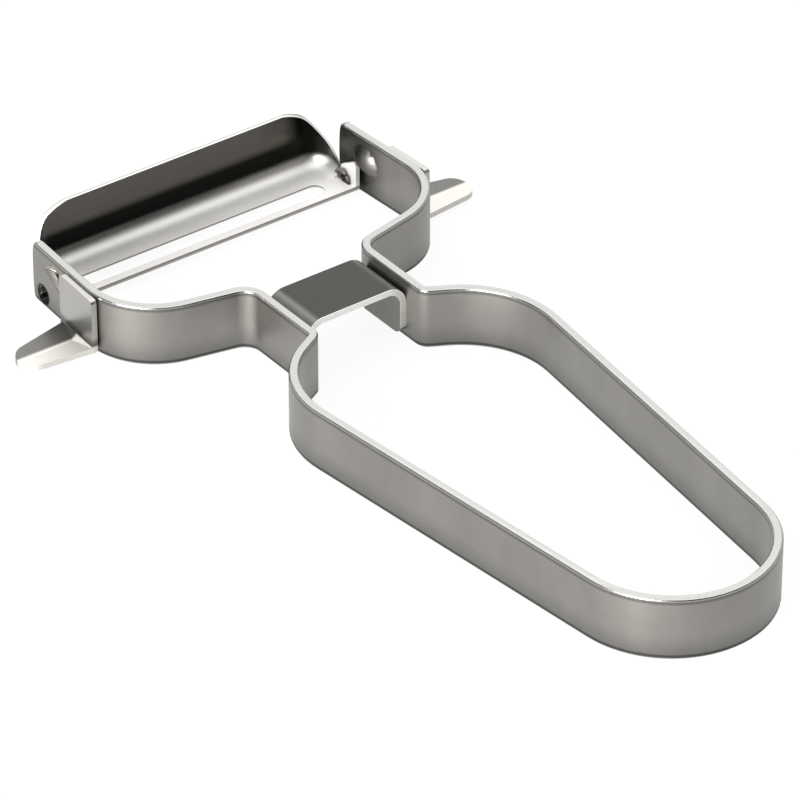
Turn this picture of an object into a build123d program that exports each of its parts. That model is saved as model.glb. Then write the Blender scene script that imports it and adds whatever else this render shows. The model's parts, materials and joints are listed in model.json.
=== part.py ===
from build123d import *
from math import acos, atan2, cos, degrees, hypot, radians, sin, tan
import os

# Vegetable peeler with a swivelling blade, all of steel.
# Lengths are in millimetres and angles in degrees.
# X runs across the blade, +Y from the round end of the handle to the blade, +Z is up.
# The origin lies under the middle of the tool, on the surface that it rests on.
# A reach is measured along the tool from the middle of the strip at the round end.

# Steel strip, standing on its edge
strip_height = 10.0
strip_thickness = 1.5
strip_edge_chamfer = 0.35

# Outline of the bent strip, on its middle line, for one side of the tool
tip_radius = 14.75
handle_length = 77.1
handle_half_width = 21.6
handle_corner_radius = 15.0
shoulder_rise = 6.5
waist_half_width = 9.7
waist_foot_radius = 1.6
waist_length = 15.5
waist_top_radius = 3.4
head_rise = 4.2
head_half_width = 29.2
head_corner_radius = 11.2
arm_length = 25.0
arm_lean = 3.3
arm_end_crown = 0.3
arm_end_corner_radius = 1.2

# Pierced pivot in each arm, a short burst tube with four petals
pivot_setback = 3.15
pivot_height = 2.1
pivot_radius = 1.1
pivot_clearance = 0.05
funnel_mouth_radius = 1.5
funnel_neck_radius = 0.62
petal_length = 0.3
petal_radius = 1.55
petal_play = 0.06
petal_slit_width = 0.34
petal_slit_reach = 1.65

# Half-moon stop in each arm, lanced along a slanting line and pressed inward
stop_radius = 3.15
stop_depth = 1.25
stop_wall = 1.0
stop_tilt = 25.8
stop_shift = 1.35
stop_lip_gap = 2.4
stop_clearance = 0.2

# Bridge, a channel that closes the waist
bridge_sheet = 1.0
bridge_near_gap = 3.2
bridge_far_gap = 2.4
bridge_top_drop = 0.6
bridge_lift = 0.9
bridge_bend_radius = 3.2
bridge_corner_radius = 1.5

# Blade, one stamped sheet
blade_sheet = 0.7
blade_end_gap = 0.3
base_lift = 1.0
rail_overhang = 2.8
rail_width = 1.35
slot_width = 3.0
slot_end_margin = 4.8
slot_corner_radius = 1.3
slot_bevel = 0.45
hood_start = 1.0
hood_reach = 7.6
hood_height = 9.8
hood_corner_radius = 4.0
hood_bend_radius = 3.0
hood_end_run = 4.67
lug_radius = 2.0
horn_radius = 0.6
relief_gap = 0.3

# Edge of the hood's end, from the top of the back wall round the corner to its foot beside the lug
hood_end_shares = [(-1.0, 1.0), (-0.5, 0.876), (0.0, 0.633), (0.5, 0.395), (1.0, 0.08)]

# Eye remover on each arm, an upright plate folded out into a guttered tongue
ear_sheet = 0.9
ear_setback = 6.35
ear_length = 9.1
ear_top_drop = 0.5
ear_corner_radius = 0.7
tongue_reach = 11.4
tongue_fold_width = 8.4
tongue_tip_radius = 2.9
tongue_turn = 5.0
tongue_lift = 0.1
gutter_rise = 0.6
fold_overlap = 0.15
fold_cove_radius = 1.2
fold_heel_radius = 0.5

# Cuts and the ends that they trim run past the metal by this much
overrun = 1.0

# Places along the tool
waist_foot = handle_length + shoulder_rise
waist_top = waist_foot + waist_length
head_foot = waist_top + head_rise
arm_end = head_foot + arm_length
pivot_reach = arm_end - pivot_setback
middle = (pivot_reach + hood_reach - strip_thickness / 2) / 2


def along(reach):
    """Y of a reach."""
    return reach - middle


def arm_x(reach):
    """X of the middle of the right arm at a reach."""
    return head_half_width - (reach - head_foot) * tan(radians(arm_lean))


# Right arm: its directions, its faces and the plane of its outer face
half_wall = strip_thickness / 2 / cos(radians(arm_lean))
arm_inner = arm_x(pivot_reach) - half_wall
arm_outer = arm_x(pivot_reach) + half_wall
pivot_y = along(pivot_reach)
outward = Vector(cos(radians(arm_lean)), sin(radians(arm_lean)), 0)
toward_end = Vector(-sin(radians(arm_lean)), cos(radians(arm_lean)), 0)
outer_face = Plane(origin=(arm_outer, pivot_y, 0), x_dir=toward_end, z_dir=outward)
pivot_axis = Axis((0, pivot_y, pivot_height), (1, 0, 0))

# Blade between the arms
blade_half = arm_x(arm_end) - half_wall - blade_end_gap
lug_inner = blade_half - blade_sheet
rail_y = pivot_y - rail_overhang
slot_y = rail_y + rail_width + slot_width / 2
hood_foot = pivot_y + hood_start
hood_back = pivot_y + hood_reach
pivot_tip = lug_inner - petal_play - petal_length

# Lip of the half-moon stop: a line that rises toward the arm's end and clears the lug
tilt = radians(stop_tilt)
lip_distance = lug_radius + stop_lip_gap
stop_along = -lip_distance * sin(tilt) - stop_shift * cos(tilt)
stop_up = pivot_height + lip_distance * cos(tilt) - stop_shift * sin(tilt)
lip_normal = toward_end * -sin(tilt) + Vector(0, 0, cos(tilt))
lip_plane = Plane(origin=outer_face.from_local_coords((stop_along, stop_up)), z_dir=lip_normal)
horn_distance = lip_distance - stop_clearance - horn_radius
horn_y = rail_y + horn_radius
horn_z = pivot_height + (horn_distance + sin(tilt) * (horn_y - pivot_y)) / cos(tilt)


def cap_radius(rise):
    """Radius of the sphere whose cap has the stop's outline and this rise."""
    return (stop_radius**2 + rise**2) / (2 * rise)


# Half-moon dome inside the arm
with BuildPart() as stop_dome:
    dome_radius = cap_radius(stop_depth)
    dome_centre = dome_radius - stop_depth - strip_thickness
    with Locations(outer_face.from_local_coords((stop_along, stop_up, dome_centre))):
        Sphere(dome_radius)
    split(bisect_by=lip_plane, keep=Keep.TOP)
    split(bisect_by=outer_face.offset(-strip_thickness / 2), keep=Keep.BOTTOM)

# Half-moon hollow that the dome leaves in the outer face
with BuildPart() as stop_hollow:
    hollow_depth = strip_thickness + stop_depth - stop_wall
    hollow_radius = cap_radius(hollow_depth)
    with Locations(outer_face.from_local_coords((stop_along, stop_up, hollow_radius - hollow_depth))):
        Sphere(hollow_radius)
    split(bisect_by=lip_plane, keep=Keep.TOP)

# Strip of the handle, waist, head and arms, made as its right half
with BuildPart() as frame_band:
    shoulder_distance = hypot(handle_half_width, handle_length - tip_radius)
    shoulder_angle = atan2(handle_length - tip_radius, handle_half_width)
    leave_angle = shoulder_angle - acos(tip_radius / shoulder_distance)
    with BuildLine(Plane.XY.offset(strip_height / 2)):
        tip = CenterArc(
            (0, along(tip_radius)), tip_radius, start_angle=-90, arc_size=90 + degrees(leave_angle)
        )
        FilletPolyline(
            tip @ 1,
            (handle_half_width, along(handle_length)),
            (waist_half_width, along(waist_foot)),
            (waist_half_width, along(waist_top)),
            (head_half_width, along(head_foot)),
            (arm_x(arm_end + overrun), along(arm_end + overrun)),
            radius=[handle_corner_radius, waist_foot_radius, waist_top_radius, head_corner_radius],
        )
    with BuildSketch(Plane.YZ):
        with Locations((along(0), strip_height / 2)):
            Rectangle(strip_thickness, strip_height)
    sweep()

    # Crowned end of the arm with rounded corners
    crown_radius = ((strip_height / 2) ** 2 + arm_end_crown**2) / (2 * arm_end_crown)
    with BuildSketch(Plane.YZ):
        with Locations((along(arm_end) + overrun, strip_height / 2)):
            Rectangle(2 * (arm_end_crown + overrun), strip_height + 2 * overrun)
        with Locations((along(arm_end) - crown_radius, strip_height / 2)):
            Circle(crown_radius, mode=Mode.SUBTRACT)
    extrude(amount=head_half_width + strip_thickness, mode=Mode.SUBTRACT)
    crown = frame_band.faces().sort_by(Axis.Y)[-1]
    fillet(crown.edges().filter_by(Axis.X), arm_end_corner_radius)

    # Softened long edges, carried on round the end
    seam = frame_band.edges().group_by(Axis.X)[0]
    upright = frame_band.edges().filter_by(Axis.Z)
    crossing = frame_band.edges().filter_by(Axis.X)
    chamfer(frame_band.edges() - seam - upright - crossing, strip_edge_chamfer)

    # Half-moon stop
    add(stop_dome.part)
    add(stop_hollow.part, mode=Mode.SUBTRACT)

    # Burst tube that the blade turns on
    with BuildSketch(Plane.XY.offset(pivot_height)):
        with BuildLine():
            Polyline(
                (arm_x(pivot_reach), pivot_y),
                (arm_x(pivot_reach), pivot_y + pivot_radius),
                (lug_inner - petal_play, pivot_y + pivot_radius),
                (pivot_tip, pivot_y + petal_radius),
                (pivot_tip, pivot_y),
                close=True,
            )
        make_face()
    revolve(axis=pivot_axis)
    with BuildSketch(Plane.XY.offset(pivot_height)):
        with BuildLine():
            Polyline(
                (arm_outer + overrun, pivot_y),
                (arm_outer + overrun, pivot_y + funnel_mouth_radius),
                (arm_outer, pivot_y + funnel_mouth_radius),
                (arm_inner, pivot_y + funnel_neck_radius),
                (pivot_tip - overrun, pivot_y + funnel_neck_radius),
                (pivot_tip - overrun, pivot_y),
                close=True,
            )
        make_face()
    revolve(axis=pivot_axis, mode=Mode.SUBTRACT)
    with BuildSketch(Plane.YZ.offset(pivot_tip - overrun)):
        with Locations((pivot_y, pivot_height)):
            Rectangle(2 * petal_slit_reach, petal_slit_width, rotation=45)
            Rectangle(2 * petal_slit_reach, petal_slit_width, rotation=-45)
    extrude(amount=arm_outer + overrun - (pivot_tip - overrun), mode=Mode.SUBTRACT)

    mirror(about=Plane.YZ)

# Channel between the walls of the waist
with BuildPart() as bridge:
    bridge_width = 2 * waist_half_width - strip_thickness
    bridge_start = along(waist_foot + bridge_near_gap)
    bridge_length = waist_length - bridge_near_gap - bridge_far_gap
    bridge_rise = strip_height - bridge_top_drop - bridge_lift
    with BuildSketch(Plane.XY.offset(bridge_lift)):
        with Locations((0, bridge_start + bridge_length / 2)):
            Rectangle(bridge_width, bridge_length)
    extrude(amount=bridge_rise)
    fillet(bridge.faces().sort_by(Axis.Z)[-1].edges().filter_by(Axis.Y), bridge_bend_radius)
    ends = bridge.faces().filter_by(Axis.Y)
    offset(amount=-bridge_sheet, openings=ends + bridge.faces().sort_by(Axis.Z)[:1])
    fillet(bridge.edges().filter_by(Axis.X).group_by(Axis.Z)[0], bridge_corner_radius)



def hood_block(inset):
    """Right half of the hood as a block, bent along its foot and round its corner, and set in by the inset."""
    with BuildPart() as block:
        with BuildSketch(Plane.XY.offset(base_lift + inset)):
            with Locations((0, hood_foot)):
                Rectangle(blade_half - inset, hood_back - hood_foot - inset, align=Align.MIN)
        extrude(amount=blade_sheet + hood_height - inset)
        fillet(block.edges().filter_by(Axis.Z).sort_by(SortBy.DISTANCE)[-1:], hood_corner_radius - inset)
        foot = block.faces().sort_by(Axis.Z)[0]
        bend = foot.edges().filter_by(lambda e: e.center().Y > hood_foot and e.center().X > 0)
        fillet(bend, hood_bend_radius - inset)
    return block.part


# Blade, made as its right half
with BuildPart() as blade:
    # Hood, its block less its hollow
    add(hood_block(0))
    add(hood_block(blade_sheet), mode=Mode.SUBTRACT)

    # End of the hood, cut to a falling curve across its corner
    hood_rise = blade_sheet + hood_height
    edge = [(a * hood_end_run, base_lift + b * hood_rise) for a, b in hood_end_shares]
    with BuildSketch(Plane(origin=(blade_half, hood_back, 0), x_dir=(1, -1, 0), z_dir=(-1, -1, 0))):
        with BuildLine():
            Spline(*edge)
            Polyline(
                edge[-1],
                (hood_end_run + overrun, edge[-1][1]),
                (hood_end_run + overrun, edge[0][1] + overrun),
                (-hood_end_run, edge[0][1] + overrun),
                edge[0],
            )
        make_face()
    extrude(amount=2 * hood_end_run, both=True, mode=Mode.SUBTRACT)

    # Flat base from the rail to the hood
    with BuildSketch(Plane.XY.offset(base_lift)):
        with Locations((blade_half / 2, (rail_y + hood_foot) / 2)):
            Rectangle(blade_half, hood_foot - rail_y)
    extrude(amount=blade_sheet)

    # Lug with its pivot hole and the horn that meets the stop
    with BuildSketch(Plane.YZ.offset(lug_inner)):
        with Locations((pivot_y, pivot_height)):
            Circle(lug_radius)
        with Locations((horn_y, horn_z)):
            Circle(horn_radius)
        with Locations(((rail_y + pivot_y) / 2, base_lift + blade_sheet / 2)):
            Rectangle(rail_overhang, blade_sheet)
        make_hull()
    extrude(amount=blade_sheet)
    with BuildSketch(Plane.YZ.offset(lug_inner)):
        with Locations((pivot_y, pivot_height)):
            Circle(pivot_radius + pivot_clearance)
    extrude(amount=blade_sheet, mode=Mode.SUBTRACT)

    # Relief in the base round the petals
    with BuildSketch(Plane.YZ.offset(lug_inner)):
        with Locations((pivot_y, pivot_height)):
            Circle(petal_radius + relief_gap)
    extrude(amount=-(petal_play + petal_length + relief_gap), mode=Mode.SUBTRACT)

    # Slot with both edges ground from below
    with BuildSketch(Plane.XY.offset(base_lift)):
        with Locations((0, slot_y)):
            RectangleRounded(2 * (blade_half - slot_end_margin), slot_width, slot_corner_radius)
    extrude(amount=blade_sheet, mode=Mode.SUBTRACT)
    with BuildSketch(Plane.XY.offset(base_lift)):
        with Locations((0, slot_y)):
            RectangleRounded(
                2 * (blade_half - slot_end_margin + slot_bevel),
                slot_width + 2 * slot_bevel,
                slot_corner_radius + slot_bevel,
            )
    extrude(amount=slot_bevel, taper=45, mode=Mode.SUBTRACT)

    mirror(about=Plane.YZ)

# Eye remover on the right arm
with BuildPart() as eye_remover_right:
    # Tongue with a rounded tip
    heading = radians(arm_lean - tongue_turn)
    tongue_axis = Vector(cos(heading), sin(heading), 0)
    ear_foot = -ear_setback - ear_length + tongue_fold_width / 2
    root = outer_face.from_local_coords((ear_foot, 0))
    with BuildSketch(Plane(origin=root, x_dir=tongue_axis)):
        Rectangle(2 * ear_sheet, tongue_fold_width)
        with Locations((tongue_reach - tongue_tip_radius, 0)):
            Circle(tongue_tip_radius)
        make_hull()
    extrude(amount=tongue_lift + gutter_rise + ear_sheet + overrun)

    # Shallow gutter along the tongue
    gutter_half = tongue_fold_width / 2 + overrun
    gutter_edge = tongue_lift + gutter_rise * gutter_half / (tongue_fold_width / 2)
    with BuildSketch(Plane(origin=root, x_dir=tongue_axis.rotate(Axis.Z, 90), z_dir=tongue_axis)):
        with BuildLine():
            Polyline(
                (0, tongue_lift),
                (gutter_half, gutter_edge),
                (gutter_half, gutter_edge + ear_sheet),
                (0, tongue_lift + ear_sheet),
                (-gutter_half, gutter_edge + ear_sheet),
                (-gutter_half, gutter_edge),
                close=True,
            )
        make_face()
    extrude(amount=tongue_reach + 2 * overrun, both=True, mode=Mode.INTERSECT)
    split(bisect_by=outer_face, keep=Keep.TOP)

    # Upright plate on the arm
    ear_bottom = tongue_lift + ear_sheet - fold_overlap
    ear_top = strip_height - ear_top_drop
    with BuildSketch(outer_face):
        with Locations((-ear_setback - ear_length / 2, (ear_bottom + ear_top) / 2)):
            Rectangle(ear_length, ear_top - ear_bottom)
        fillet(vertices().group_by(Axis.Y)[-1], ear_corner_radius)
    extrude(amount=ear_sheet)

    # Fold between the plate and the tongue, hollow inside and rounded at its heel
    fold_far = outer_face.from_local_coords((ear_foot + tongue_fold_width / 2, tongue_lift + ear_sheet, ear_sheet))
    with BuildSketch(Plane(origin=fold_far, x_dir=outward, z_dir=-toward_end)):
        Rectangle(fold_cove_radius, fold_cove_radius, align=Align.MIN)
        with Locations((fold_cove_radius, fold_cove_radius)):
            Circle(fold_cove_radius, mode=Mode.SUBTRACT)
    extrude(amount=tongue_fold_width)
    back_edges = eye_remover_right.edges().group_by(Axis(outer_face.origin, outward))[0]
    fillet(back_edges.group_by(Axis.Z)[0], fold_heel_radius)

with BuildPart() as eye_remover_left:
    mirror(eye_remover_right.part, about=Plane.YZ)

pieces = {
    "frame_band": frame_band,
    "bridge": bridge,
    "blade": blade,
    "eye_remover_right": eye_remover_right,
    "eye_remover_left": eye_remover_left,
}

os.makedirs("parts", exist_ok=True)
for name, piece in pieces.items():
    piece.part.label = name
    export_step(piece.part, f"parts/{name}.step")
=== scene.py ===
"""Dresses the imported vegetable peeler: polished steel on every piece, and the stage it is shown on."""

import json
import math
from typing import NamedTuple

import bpy
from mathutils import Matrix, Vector


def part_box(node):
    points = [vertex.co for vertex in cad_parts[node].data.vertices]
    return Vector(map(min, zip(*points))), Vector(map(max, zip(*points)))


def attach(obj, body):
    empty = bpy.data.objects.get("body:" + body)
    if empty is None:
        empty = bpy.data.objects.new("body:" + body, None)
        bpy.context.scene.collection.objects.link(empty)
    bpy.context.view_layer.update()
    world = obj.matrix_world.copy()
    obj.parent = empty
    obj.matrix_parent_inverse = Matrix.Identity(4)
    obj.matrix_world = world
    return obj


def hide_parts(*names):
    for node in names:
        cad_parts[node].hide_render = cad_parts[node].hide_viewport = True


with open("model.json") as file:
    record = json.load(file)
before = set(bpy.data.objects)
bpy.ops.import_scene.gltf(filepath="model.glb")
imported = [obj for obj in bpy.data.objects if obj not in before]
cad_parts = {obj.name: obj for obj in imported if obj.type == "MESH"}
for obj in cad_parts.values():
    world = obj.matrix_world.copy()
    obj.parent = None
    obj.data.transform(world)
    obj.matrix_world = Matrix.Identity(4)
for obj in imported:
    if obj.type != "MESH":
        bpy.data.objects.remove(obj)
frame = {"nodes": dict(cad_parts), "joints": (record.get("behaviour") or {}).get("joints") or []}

bl_info = {
    "name": "Vegetable Peeler",
    "version": (1, 0, 0),
    "blender": (4, 5, 0),
    "location": "View3D > Sidebar > Peeler",
    "description": "Finishes the steel pieces of a vegetable peeler and sets up its stage",
    "category": "Object",
}


class Polish(NamedTuple):
    """How one steel was polished: marks and clouds per metre, the depth of the marks in metres."""

    roughness: float
    marks: float
    marks_stretch: tuple
    marks_depth: float
    marks_roughness: float
    clouds: float
    clouds_roughness: float
    clouds_share: float
    contrast: float
    clouds_stretch: tuple = (1.0, 1.0, 1.0)
    clouds_detail: float = 3.0
    clouds_grit: float = 0.5


STRIP_POLISH = Polish(
    roughness=0.34, marks=9000.0, marks_stretch=(0.02, 0.02, 1.0), marks_depth=0.00002, marks_roughness=0.08,
    clouds=130.0, clouds_roughness=0.05, clouds_share=0.7, contrast=0.28,
    clouds_stretch=(1.0, 1.0, 0.5), clouds_detail=5.0, clouds_grit=0.6,
)
BRIDGE_POLISH = Polish(
    roughness=0.42, marks=5000.0, marks_stretch=(1.0, 0.1, 1.0), marks_depth=0.000004, marks_roughness=0.08,
    clouds=220.0, clouds_roughness=0.06, clouds_share=0.7, contrast=0.2,
)
BLADE_POLISH = Polish(
    roughness=0.52, marks=7000.0, marks_stretch=(0.02, 1.0, 1.0), marks_depth=0.000005, marks_roughness=0.1,
    clouds=90.0, clouds_roughness=0.05, clouds_share=0.5, contrast=0.08,
)
EAR_POLISH = Polish(
    roughness=0.27, marks=6000.0, marks_stretch=(0.05, 1.0, 1.0), marks_depth=0.000004, marks_roughness=0.08,
    clouds=120.0, clouds_roughness=0.05, clouds_share=0.5, contrast=0.1,
)

# Marks of every steel: the detail and the grit of their noise, and how strongly they groove the surface
MARKS_DETAIL = 3.0
MARKS_GRIT = 0.5
BUMP_STRENGTH = 0.5

# Width in metres over which one tone of a piece passes into the next
MARK_EDGE = 0.0003

# Strip in metres: the height over which painted shade darkens its foot, and the radius of the burst round a
# pivot
FOOT_SHADE_FADE = 0.0045
PIVOT_BURST = 0.0019

# The inner side of an arm is where |X| + ARM_SLOPE * Y stays below ARM_INNER, in metres. Between the two
# places along Y it turns dark, a painted dark reflection on the arm's inner end
ARM_INNER = 0.0310
ARM_SLOPE = 0.0577
ARM_REFLECTION_SPAN = (0.050, 0.057)

# The band of painted shade beside each rim starts and is full at these distances from the strip's edge, in
# rim depths
SHADE_LINE_SHARES = (2.0, 1.4)
RIM_ROUGHNESS = 0.18

# How strongly the painted shade at the foot and beside the rims, and the arms' painted shade and reflection,
# cover the strip's colour, and their tones as shares of it
FOOT_SHADE_COVER = 0.45
SHADE_LINE_COVER = 0.55
SHADE_AND_REFLECTION_COVER = 0.92
PAINTED_SHADE_TONE = 0.25
SHADE_AND_REFLECTION_TONE = 0.08

# Bridge in metres: the height over which its top is darkened as a painted dark reflection, and how far behind
# its front the cut edge's painted highlight fades out
CROWN_REFLECTION_FADE = 0.0003
BRIDGE_CUT = (0.00003, 0.0001)
CROWN_REFLECTION_TONE = 0.25
BRIDGE_HIGHLIGHT_TONE = 2.2

# Blade in metres: its sheet, its underside's height, the hood's corner in plan and its bend along the foot
BLADE_SHEET = 0.0007
BLADE_FOOT = 0.0010
HOOD_CORNER = 0.004
HOOD_BEND = 0.003

# Depths below the sheet's outer side, over which the tone of that side ends and the hood's inside begins
OUTER_DEPTH = (0.3 * BLADE_SHEET, 0.6 * BLADE_SHEET)
INSIDE_DEPTH = (0.8 * BLADE_SHEET, 0.95 * BLADE_SHEET)

# The hood's inside in metres: how far it reaches forward from the back, and the heights over which its
# painted dark reflection darkens and lightens again
HOOD_REACH = (0.0068, 0.0064)
HOOD_FADE = (0.0016, 0.0040)
HOOD_BAND = (0.0060, 0.0077)
REFLECTION_STREAK_TONE = 1.6
BURNISH_SHINE = 0.3

# Below these heights in metres, just under the sheet's upper side, the blade's cut edges carry painted shade
CUT_EDGE = (0.00163, 0.00168)
CUT_EDGE_SHADE_TONE = 3.5

# Eye removers in metres: the heights of the fold between tongue and plate, and the gutter's place along Y
EAR_FOLD_FOOT = 0.0016
EAR_FOLD_TOP = 0.0034
EAR_GUTTER_Y = 0.0483
# Painted light on the near half of a tongue, and painted shade on its far half and in the fold above it
EAR_LIT_TONE = 1.55
EAR_SHADE_TONE = 0.3
EAR_LIT_ROUGHNESS = 0.25

# Carried-over mesh: points closer than the gap in metres become one, and so do faces that turn less than the
# flat angle. Edges that turn less than the soft angle are shaded round, and their largest faces rule
MERGE_GAP = 0.000001
FLAT_ANGLE = math.radians(0.5)
SOFT_ANGLE = math.radians(60)
AREA_WEIGHT = 100

# Room lights: the direction of each in degrees round and up, then the angles from it where it ends and where
# it is full. The glow is what the room gives from every side
SKY = (53, 35, 99, 72)
WINDOW = (53, 18, 38, 2)
SIDE_LIGHT = (202, 12, 22, 4)
ROOM_GLOW = 0.03
WHITE = (1.0, 1.0, 1.0, 1.0)

# Floor, and the share of plain white in what the camera and the steel see of it
FLOOR_ROUGHNESS = 0.9
FLOOR_GLOW = 0.92

# Softbox and camera in metres, and the camera's sensor in millimetres
SOFTBOX_PLACE = (0.15, 0.2, 1.2)
SOFTBOX_WIDTH = 1.8
SOFTBOX_TARGET = (0.0, 0.0, 0.0)
CAMERA_PLACE = (-0.4261, -0.56314, 0.48247)
CAMERA_TARGET = (-0.001354, 0.008387, 0.0)
CAMERA_SENSOR = 36.0
CAMERA_CLIP = (0.01, 50.0)


class PeelerSteel(bpy.types.PropertyGroup):
    """Colours and finishes of the steel pieces."""

    strip_color: bpy.props.FloatVectorProperty(
        name="Strip", description="Colour of the bent strip", subtype="COLOR", size=3, min=0, max=1,
        default=(0.262, 0.253, 0.234),
    )
    # Polished edges of the strip: lower roughness is real polish, their lighter colour is a painted
    # highlight. The bridge's cut edge takes it lighter still, as a painted highlight
    rim_color: bpy.props.FloatVectorProperty(
        name="Rim", description="Colour of the strip's polished edges and, lighter, of the bridge's cut edge",
        subtype="COLOR", size=3, min=0, max=1, default=(0.38, 0.377, 0.365),
    )
    bridge_color: bpy.props.FloatVectorProperty(
        name="Bridge", description="Colour of the bridge", subtype="COLOR", size=3, min=0, max=1,
        default=(0.20, 0.202, 0.184),
    )
    # The blade's colour, painted lighter than its plain outer side as light from overhead
    blade_lit_color: bpy.props.FloatVectorProperty(
        name="Blade", description="Colour of the blade", subtype="COLOR", size=3, min=0, max=1,
        default=(0.77, 0.76, 0.74),
    )
    ear_color: bpy.props.FloatVectorProperty(
        name="Eye removers", description="Colour of the eye removers and of the blade's outer side",
        subtype="COLOR", size=3, min=0, max=1, default=(0.42, 0.41, 0.385),
    )
    # The hood's inside is painted dark as the reflection it shows: nearly black above its bend, grey at its
    # top
    hood_reflection_low_color: bpy.props.FloatVectorProperty(
        name="Hood inside, low", description="Colour of the hood's inside above its bend", subtype="COLOR",
        size=3, min=0, max=1, default=(0.006, 0.006, 0.005),
    )
    hood_reflection_high_color: bpy.props.FloatVectorProperty(
        name="Hood inside, high", description="Colour of the hood's inside at its top", subtype="COLOR",
        size=3, min=0, max=1, default=(0.080, 0.075, 0.066),
    )
    rim_depth: bpy.props.FloatProperty(
        name="Rim depth", description="Height of the polished band along each edge of the strip",
        subtype="DISTANCE", unit="LENGTH", default=0.0005, min=0, max=0.002,
    )


class PeelerStage(bpy.types.PropertyGroup):
    """Floor, lamps and camera."""

    floor_size: bpy.props.FloatProperty(
        name="Floor", description="Width of the floor", subtype="DISTANCE", unit="LENGTH", default=6.0,
    )
    floor_color: bpy.props.FloatVectorProperty(
        name="Floor colour", description="Colour of the floor", subtype="COLOR", size=3, min=0, max=1,
        default=(0.9, 0.9, 0.9),
    )
    sky_strength: bpy.props.FloatProperty(
        name="Sky", description="Strength of the light from behind and overhead", default=0.6,
    )
    window_strength: bpy.props.FloatProperty(
        name="Window", description="Strength of the bright window low behind the object", default=1.3,
    )
    side_strength: bpy.props.FloatProperty(
        name="Side light", description="Strength of the low light at the camera's left", default=42.0,
    )
    top_power: bpy.props.FloatProperty(
        name="Top softbox", description="Power of the softbox overhead", subtype="POWER", unit="POWER",
        default=17.0,
    )
    lens: bpy.props.FloatProperty(
        name="Lens", description="Focal length in millimetres", unit="CAMERA", default=270.04,
        min=20, max=600,
    )


class Value:
    """A shader socket that takes part in Python arithmetic."""

    def __init__(self, shading, socket):
        self.shading = shading
        self.socket = socket

    def _math(self, operation, *terms):
        made = self.shading.node("ShaderNodeMath", {"operation": operation})
        for slot, term in zip(made.inputs, terms):
            self.shading.feed(slot, term)
        return Value(self.shading, made.outputs[0])

    def __add__(self, other):
        return self._math("ADD", self, other)

    __radd__ = __add__

    def __sub__(self, other):
        return self._math("SUBTRACT", self, other)

    def __rsub__(self, other):
        return self._math("SUBTRACT", other, self)

    def __mul__(self, other):
        return self._math("MULTIPLY", self, other)

    __rmul__ = __mul__

    def __abs__(self):
        return self._math("ABSOLUTE", self)

    def root(self):
        return self._math("SQRT", self)

    def clamp(self):
        """Held between 0 and 1."""
        return self._math("MINIMUM", self._math("MAXIMUM", self, 0.0), 1.0)

    def smooth(self, low, high):
        """0 below low, 1 above high and a soft step between them."""
        settings = {"interpolation_type": "SMOOTHSTEP"}
        step = self.shading.node("ShaderNodeMapRange", settings, Value=self, From_Min=low, From_Max=high)
        return Value(self.shading, step.outputs["Result"])


class Shading:
    """The nodes of one material, or of the world."""

    def __init__(self, owner):
        owner.use_nodes = True
        self.owner = owner
        self.tree = owner.node_tree
        self.tree.nodes.clear()

    def node(self, kind, settings=None, **inputs):
        """A node of that kind. Settings come first, then the values or links of its sockets."""
        made = self.tree.nodes.new(kind)
        for key, value in (settings or {}).items():
            setattr(made, key, value)
        for key, value in inputs.items():
            self.feed(made.inputs[key.replace("_", " ")], value)
        return made

    def feed(self, socket, value):
        """Links a socket to another one, or sets its value."""
        if isinstance(value, Value):
            self.tree.links.new(value.socket, socket)
        elif isinstance(value, bpy.types.NodeSocket):
            self.tree.links.new(value, socket)
        else:
            socket.default_value = value

    def blend(self, factor, first, second):
        """A colour between two, by a factor."""
        settings = {"data_type": "RGBA", "clamp_factor": True}
        return self.node("ShaderNodeMix", settings, Factor=factor, A=first, B=second).outputs["Result"]


class Steel(Shading):
    """A steel with its polishing marks and clouds, and the X, Y and Z of each point of the piece."""

    def __init__(self, name, polish):
        super().__init__(bpy.data.materials.new(name))
        self.polish = polish
        self.place = self.node("ShaderNodeTexCoord").outputs["Object"]
        axes = self.node("ShaderNodeSeparateXYZ", Vector=self.place)
        self.x, self.y, self.z = (Value(self, axes.outputs[axis]) for axis in "XYZ")
        self.marks = self.noise(polish.marks, polish.marks_stretch, MARKS_DETAIL, MARKS_GRIT)
        self.clouds = self.noise(
            polish.clouds, polish.clouds_stretch, polish.clouds_detail, polish.clouds_grit
        )

    def noise(self, scale, stretch, detail, grit):
        """Noise on Object coordinates, stretched along each axis."""
        place = self.node("ShaderNodeMapping", Vector=self.place, Scale=stretch).outputs["Vector"]
        made = self.node("ShaderNodeTexNoise", Vector=place, Scale=scale, Detail=detail, Roughness=grit)
        return Value(self, made.outputs[0])

    def skin(self, color):
        """The colour of the plain surface, uneven by its clouds and marks."""
        share = self.polish.clouds_share
        uneven = self.clouds * share + self.marks * (1 - share)
        contrast = self.polish.contrast
        return self.blend(uneven, rgba(color, 1 - contrast), rgba(color, 1 + contrast))

    def roughness(self):
        """The roughness of the plain surface."""
        marks = self.marks * self.polish.marks_roughness
        return self.polish.roughness + marks + self.clouds * self.polish.clouds_roughness

    def surface(self, color, roughness):
        """The finished material, with its marks as fine grooves."""
        bump = self.node(
            "ShaderNodeBump", Strength=BUMP_STRENGTH, Distance=self.polish.marks_depth, Height=self.marks
        )
        shader = self.node(
            "ShaderNodeBsdfPrincipled", Metallic=1.0, Base_Color=color, Roughness=roughness,
            Normal=bump.outputs["Normal"],
        )
        self.node("ShaderNodeOutputMaterial", Surface=shader.outputs[0])
        return self.owner


def rgba(color, tone=1.0):
    """A colour as shader nodes take it, at a tone that is a share of it."""
    return tuple(min(1.0, channel * tone) for channel in color) + (1.0,)


def from_axis(first, second):
    """Distance from an axis, by the two offsets from it."""
    return (first * first + second * second).root()


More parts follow.
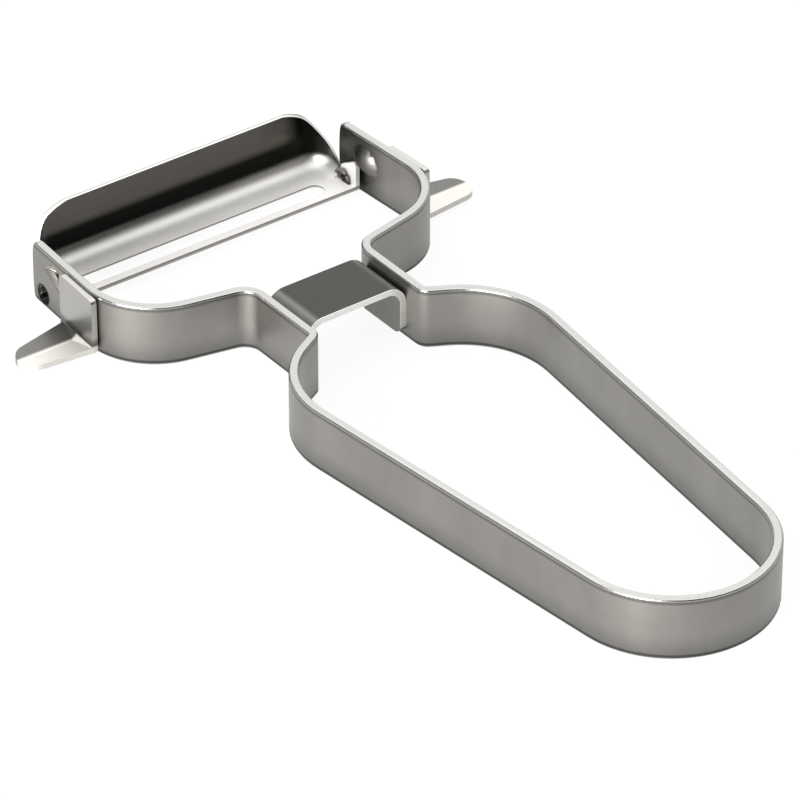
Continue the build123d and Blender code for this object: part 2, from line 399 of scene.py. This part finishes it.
def satin_strip(looks):
    """Satin steel with long polishing marks; polished rims painted lighter as a highlight; painted shade
    beside each rim, toward the foot and round each pivot outside; a painted dark reflection on the arms'
    inner ends.
    """
    steel = Steel("satin_strip_steel", STRIP_POLISH)
    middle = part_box("frame_band")[1].z / 2
    from_middle = abs(steel.z - middle)
    # Polished rims: lower roughness, and a lighter colour that is a painted highlight
    rim = from_middle.smooth(middle - looks.rim_depth, middle - looks.rim_depth / 2)
    # A band of painted shade beside each rim
    start, full = (middle - share * looks.rim_depth for share in SHADE_LINE_SHARES)
    rim_shade_line = from_middle.smooth(start, full) * (1 - rim)
    # Painted shade darkens the strip toward its foot
    foot = 1 - steel.z.smooth(0, FOOT_SHADE_FADE)

    # Painted shade in the hollow round each pivot on the arm's outer side, and a painted dark reflection on
    # each arm's inner end
    pivot = frame["joints"][0]["pos_m"]
    from_pivot = from_axis(steel.y - pivot[1], steel.z - pivot[2])
    burst = 1 - from_pivot.smooth(PIVOT_BURST - MARK_EDGE, PIVOT_BURST)
    inner = (ARM_INNER - abs(steel.x) - steel.y * ARM_SLOPE).smooth(0, MARK_EDGE)
    painted_shade_and_reflection = inner * (1 - burst) * steel.y.smooth(*ARM_REFLECTION_SPAN) + (1 - inner) * burst

    color = steel.skin(looks.strip_color)
    color = steel.blend(foot * FOOT_SHADE_COVER + rim_shade_line * SHADE_LINE_COVER, color, rgba(looks.strip_color, PAINTED_SHADE_TONE))
    color = steel.blend(painted_shade_and_reflection * SHADE_AND_REFLECTION_COVER, color, rgba(looks.strip_color, SHADE_AND_REFLECTION_TONE))
    color = steel.blend(rim, color, rgba(looks.rim_color))
    return steel.surface(color, steel.roughness() - rim * (STRIP_POLISH.roughness - RIM_ROUGHNESS))


def mill_bridge(looks):
    """Darker mill finish with a faint grain across the channel, a painted dark reflection on its top, and a
    painted highlight on the cut edge in front.
    """
    steel = Steel("mill_bridge_steel", BRIDGE_POLISH)
    low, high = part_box("bridge")
    # A painted dark reflection on the bridge's top
    crown_reflection = steel.z.smooth(high.z - CROWN_REFLECTION_FADE, high.z)
    # A painted highlight along the cut edge in front
    start, end = (low.y + back for back in BRIDGE_CUT)
    cut = 1 - steel.y.smooth(start, end)
    color = steel.blend(crown_reflection, steel.skin(looks.bridge_color), rgba(looks.bridge_color, CROWN_REFLECTION_TONE))
    color = steel.blend(cut, color, rgba(looks.rim_color, BRIDGE_HIGHLIGHT_TONE))
    return steel.surface(color, steel.roughness())


def brushed_blade(looks):
    """Steel brushed along the blade, painted bright as lit from overhead and darker on its outer side, with a
    painted dark reflection inside the hood and painted shade on its cut edges.
    """
    steel = Steel("brushed_blade_steel", BLADE_POLISH)
    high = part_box("blade")[1]
    round_x = (abs(steel.x) - (high.x - HOOD_CORNER)).clamp()
    round_y = (steel.y - (high.y - HOOD_CORNER)).clamp()
    depth = HOOD_CORNER - from_axis(round_x, round_y)
    start, full = (high.y - reach for reach in HOOD_REACH)
    inside = depth.smooth(*INSIDE_DEPTH) * steel.z.smooth(*HOOD_FADE) * steel.y.smooth(start, full)
    bend_y = (steel.y - (high.y - HOOD_BEND)).clamp()
    bend_z = (BLADE_FOOT + HOOD_BEND - steel.z).clamp()
    outer = 1 - (HOOD_BEND - from_axis(bend_y, bend_z)).smooth(*OUTER_DEPTH)

    # A painted dark reflection inside the hood: nearly black above the bend, grey with streaks toward the top
    off_right_end = 1 - steel.x.smooth(high.x - 2 * HOOD_CORNER, high.x - HOOD_CORNER)
    upper = steel.z.smooth(*HOOD_BAND) * off_right_end
    dark = steel.blend(upper, rgba(looks.hood_reflection_low_color), rgba(looks.hood_reflection_high_color))
    reflection_streak = rgba(looks.hood_reflection_high_color, REFLECTION_STREAK_TONE)
    dark = steel.blend(upper * steel.marks * steel.clouds, dark, reflection_streak)
    # The blade's colour is painted lighter than its outer side, standing in for light from overhead
    color = steel.blend(inside, steel.skin(looks.blade_lit_color), dark)
    # Painted shade on the blade's cut edges
    cut = 1 - steel.z.smooth(*CUT_EDGE)
    color = steel.blend(cut, color, rgba(looks.hood_reflection_high_color, CUT_EDGE_SHADE_TONE))
    color = steel.blend(outer, color, rgba(looks.ear_color))
    return steel.surface(color, steel.roughness() - inside * BURNISH_SHINE)


def satin_ear(looks):
    """Satin steel of the eye removers, with painted light on the near half of a tongue and painted shade
    beyond its gutter and in its fold.
    """
    steel = Steel("satin_ear_steel", EAR_POLISH)
    fold = EAR_FOLD_FOOT + MARK_EDGE
    tongue = 1 - steel.z.smooth(EAR_FOLD_FOOT, fold)
    near = (EAR_GUTTER_Y - steel.y).smooth(-MARK_EDGE, MARK_EDGE)
    cove_shade = (1 - tongue) * (1 - steel.z.smooth(fold, EAR_FOLD_TOP))
    # Painted light on the near half of a tongue; painted shade on its far half and in the fold
    lit = tongue * near
    shade = rgba(looks.ear_color, EAR_SHADE_TONE)
    color = steel.blend(lit, steel.skin(looks.ear_color), rgba(looks.ear_color, EAR_LIT_TONE))
    color = steel.blend(tongue * (1 - near), color, shade)
    color = steel.blend(cove_shade, color, shade)
    return steel.surface(color, steel.roughness() + lit * EAR_LIT_ROUGHNESS)


def pale_floor(settings):
    """White floor that keeps a soft shadow and shows white to the camera and in the steel."""
    floor = Shading(bpy.data.materials.new("pale_floor"))
    path = floor.node("ShaderNodeLightPath")
    kinds = ("Is Camera Ray", "Is Glossy Ray", "Is Transmission Ray")
    camera, glossy, transmission = (Value(floor, path.outputs[kind]) for kind in kinds)
    seen = (camera + glossy + transmission).clamp()
    shade = floor.node(
        "ShaderNodeBsdfPrincipled", Base_Color=rgba(settings.floor_color), Roughness=FLOOR_ROUGHNESS
    )
    glow = floor.node("ShaderNodeEmission", Color=WHITE, Strength=1.0)
    mix = floor.node("ShaderNodeMixShader")
    for slot, value in zip(mix.inputs, (seen * FLOOR_GLOW, shade.outputs[0], glow.outputs[0])):
        floor.feed(slot, value)
    floor.node("ShaderNodeOutputMaterial", Surface=mix.outputs[0])
    return floor.owner


def direction(azimuth, elevation):
    """Unit vector toward a point of the room, in degrees."""
    turn, lift = math.radians(azimuth), math.radians(elevation)
    return (math.cos(turn) * math.cos(lift), math.sin(turn) * math.cos(lift), math.sin(lift))


def studio_room(settings):
    """Pale room, bright behind and overhead, with a window behind and a low light at the camera's left."""
    room = Shading(bpy.data.worlds.new("studio_room"))
    ray = room.node("ShaderNodeTexCoord").outputs["Generated"]

    def lobe(azimuth, elevation, outer, inner):
        """1 within the inner angle of a direction, 0 outside the outer one."""
        toward = room.node("ShaderNodeVectorMath", {"operation": "DOT_PRODUCT"})
        room.feed(toward.inputs[0], ray)
        room.feed(toward.inputs[1], direction(azimuth, elevation))
        edges = (math.cos(math.radians(angle)) for angle in (outer, inner))
        return Value(room, toward.outputs["Value"]).smooth(*edges)

    light = lobe(*SKY) * settings.sky_strength + ROOM_GLOW
    light = light + lobe(*WINDOW) * settings.window_strength
    light = light + lobe(*SIDE_LIGHT) * settings.side_strength
    background = room.node("ShaderNodeBackground", Color=WHITE, Strength=light)
    room.node("ShaderNodeOutputWorld", Surface=background.outputs[0])
    return room.owner


def deselect_all():
    """Leaves edit mode and selects nothing, because an operator acts on all that is selected."""
    if bpy.context.object and bpy.context.object.mode != "OBJECT":
        bpy.ops.object.mode_set(mode="OBJECT")
    bpy.ops.object.select_all(action="DESELECT")


def dress(piece, material):
    """Gives a piece one material."""
    piece.data.materials.clear()
    piece.data.materials.append(material)


def soft_edged(node, body):
    """A merged copy of a carried-over node whose narrow bevels are shaded as round edges."""
    deselect_all()
    source = frame["nodes"][node]
    source.select_set(True)
    bpy.context.view_layer.objects.active = source
    bpy.ops.object.duplicate()
    piece = bpy.context.object
    piece.name = node + "_soft"
    bpy.ops.object.mode_set(mode="EDIT")
    bpy.ops.mesh.select_all(action="SELECT")
    bpy.ops.mesh.remove_doubles(threshold=MERGE_GAP)
    bpy.ops.mesh.dissolve_limited(angle_limit=FLAT_ANGLE)
    bpy.ops.object.mode_set(mode="OBJECT")
    bpy.ops.object.shade_smooth_by_angle(angle=SOFT_ANGLE)
    bpy.ops.object.modifier_add(type="WEIGHTED_NORMAL")
    weighted = piece.modifiers[-1]
    weighted.weight = AREA_WEIGHT
    weighted.keep_sharp = True
    bpy.ops.object.modifier_apply(modifier=weighted.name)
    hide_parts(node)
    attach(piece, body)
    return piece


def aim(thing, target):
    """Turns a lamp or the camera toward a point."""
    thing.rotation_euler = (Vector(target) - thing.location).to_track_quat("-Z", "Y").to_euler()


def lay_floor(settings):
    """A wide pale floor that the object lies on."""
    deselect_all()
    bpy.ops.mesh.primitive_plane_add(size=settings.floor_size, location=(0, 0, 0))
    floor = bpy.context.object
    floor.name = "floor"
    dress(floor, pale_floor(settings))


def hang_softbox(settings):
    """A square soft lamp overhead that faces the object."""
    bpy.ops.object.light_add(type="AREA", location=SOFTBOX_PLACE)
    lamp = bpy.context.object
    lamp.name = "top_softbox"
    lamp.data.size = SOFTBOX_WIDTH
    lamp.data.energy = settings.top_power
    aim(lamp, SOFTBOX_TARGET)


def place_camera(settings):
    """The camera, looking down from the front at the left."""
    bpy.ops.object.camera_add(location=CAMERA_PLACE)
    camera = bpy.context.object
    camera.name = "camera"
    aim(camera, CAMERA_TARGET)
    camera.data.lens = settings.lens
    camera.data.sensor_width = CAMERA_SENSOR
    camera.data.clip_start, camera.data.clip_end = CAMERA_CLIP
    bpy.context.scene.camera = camera


class PEELER_OT_strip(bpy.types.Operator):
    """Finish the bent strip of the handle, head and arms"""

    bl_idname = "peeler.strip"
    bl_label = "Strip"

    def execute(self, context):
        dress(soft_edged("frame_band", "frame"), satin_strip(context.scene.peeler_steel))
        return {"FINISHED"}


class PEELER_OT_bridge(bpy.types.Operator):
    """Finish the channel that closes the waist"""

    bl_idname = "peeler.bridge"
    bl_label = "Bridge"

    def execute(self, context):
        dress(frame["nodes"]["bridge"], mill_bridge(context.scene.peeler_steel))
        return {"FINISHED"}


class PEELER_OT_blade(bpy.types.Operator):
    """Finish the hooded blade"""

    bl_idname = "peeler.blade"
    bl_label = "Blade"

    def execute(self, context):
        dress(frame["nodes"]["blade"], brushed_blade(context.scene.peeler_steel))
        return {"FINISHED"}


class PEELER_OT_eye_removers(bpy.types.Operator):
    """Finish the eye remover on each arm"""

    bl_idname = "peeler.eye_removers"
    bl_label = "Eye removers"

    def execute(self, context):
        material = satin_ear(context.scene.peeler_steel)
        for side in ("left", "right"):
            dress(frame["nodes"]["eye_remover_" + side], material)
        return {"FINISHED"}


class PEELER_OT_stage(bpy.types.Operator):
    """Lay the floor, hang the lamp, light the room and place the camera"""

    bl_idname = "peeler.stage"
    bl_label = "Stage"

    def execute(self, context):
        settings = context.scene.peeler_stage
        lay_floor(settings)
        hang_softbox(settings)
        context.scene.world = studio_room(settings)
        place_camera(settings)
        context.scene.view_settings.view_transform = "Standard"
        return {"FINISHED"}


class PEELER_PT_sidebar(bpy.types.Panel):
    """The peeler's pieces and its stage"""

    bl_idname = "PEELER_PT_sidebar"
    bl_label = "Vegetable Peeler"
    bl_space_type = "VIEW_3D"
    bl_region_type = "UI"
    bl_category = "Peeler"

    def draw(self, context):
        column = self.layout.column()
        for operator in PIECES + (PEELER_OT_stage,):
            column.operator(operator.bl_idname)
        for group in (context.scene.peeler_steel, context.scene.peeler_stage):
            for key in group.__annotations__:
                column.prop(group, key)


PIECES = (PEELER_OT_strip, PEELER_OT_bridge, PEELER_OT_blade, PEELER_OT_eye_removers)
CLASSES = (PeelerSteel, PeelerStage) + PIECES + (PEELER_OT_stage, PEELER_PT_sidebar)


def register():
    for cls in CLASSES:
        bpy.utils.register_class(cls)
    bpy.types.Scene.peeler_steel = bpy.props.PointerProperty(type=PeelerSteel)
    bpy.types.Scene.peeler_stage = bpy.props.PointerProperty(type=PeelerStage)


def unregister():
    del bpy.types.Scene.peeler_stage
    del bpy.types.Scene.peeler_steel
    for cls in reversed(CLASSES):
        bpy.utils.unregister_class(cls)


def main():
    register()
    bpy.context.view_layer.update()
    bpy.ops.peeler.strip()
    bpy.ops.peeler.bridge()
    bpy.ops.peeler.blade()
    bpy.ops.peeler.eye_removers()
    bpy.ops.peeler.stage()


if __name__ == "__main__":
    main()
